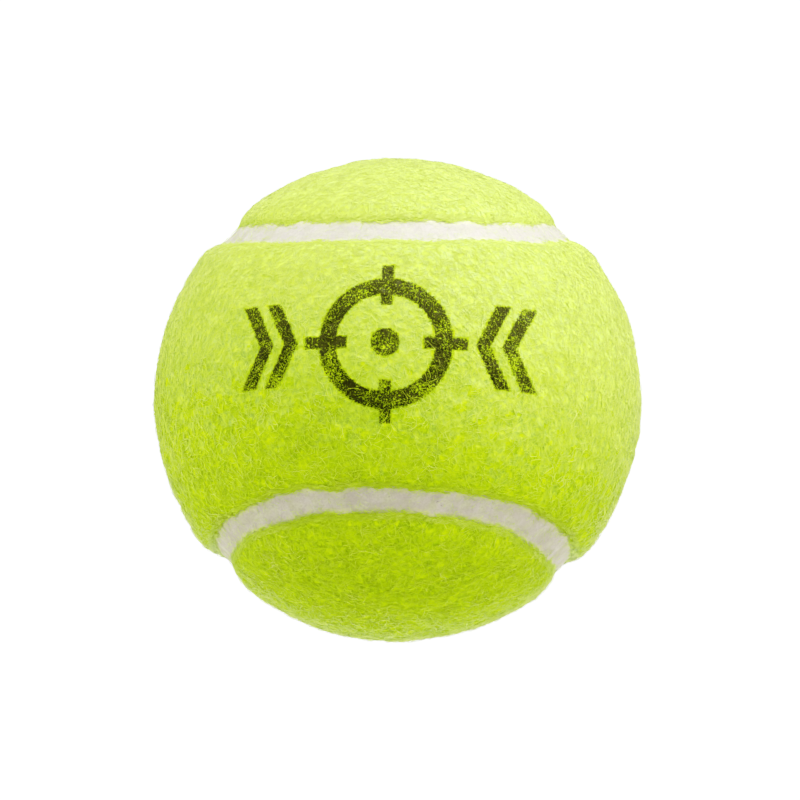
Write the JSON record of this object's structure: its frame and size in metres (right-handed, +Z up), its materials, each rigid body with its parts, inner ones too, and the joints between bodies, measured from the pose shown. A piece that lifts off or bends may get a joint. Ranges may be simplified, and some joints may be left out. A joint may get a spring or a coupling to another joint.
{
  "type": "reflex training ball",
  "caption": "Felt-covered hollow rubber ball for reflex boxing training, with a sunk seam between curved felt panels and a lined hole at the back for an elastic cord.",
  "frame": {"origin": "centre of the ball", "axes": "+Z up, -Y towards the front, where the printed mark is, +Y out of the cord hole at the back"},
  "size_m": [0.067, 0.0669, 0.067],
  "materials": {
    "felt": "raised wool and nylon nap, optic yellow",
    "seam_cement": "matt, slightly uneven",
    "core_rubber": "matt moulded rubber",
    "core_cement": "cured rubber solution",
    "bush": "satin moulded rubber"
  },
  "bodies": {
    "root": {"core_half_front": "core_rubber", "core_half_back": "core_rubber", "core_bond_ring": "core_cement", "cement_layer": "core_cement", "felt_panel_front": "felt", "felt_panel_back": "felt", "seam_bead": "seam_cement", "cord_bush": "bush"}
  },
  "joints": []
}
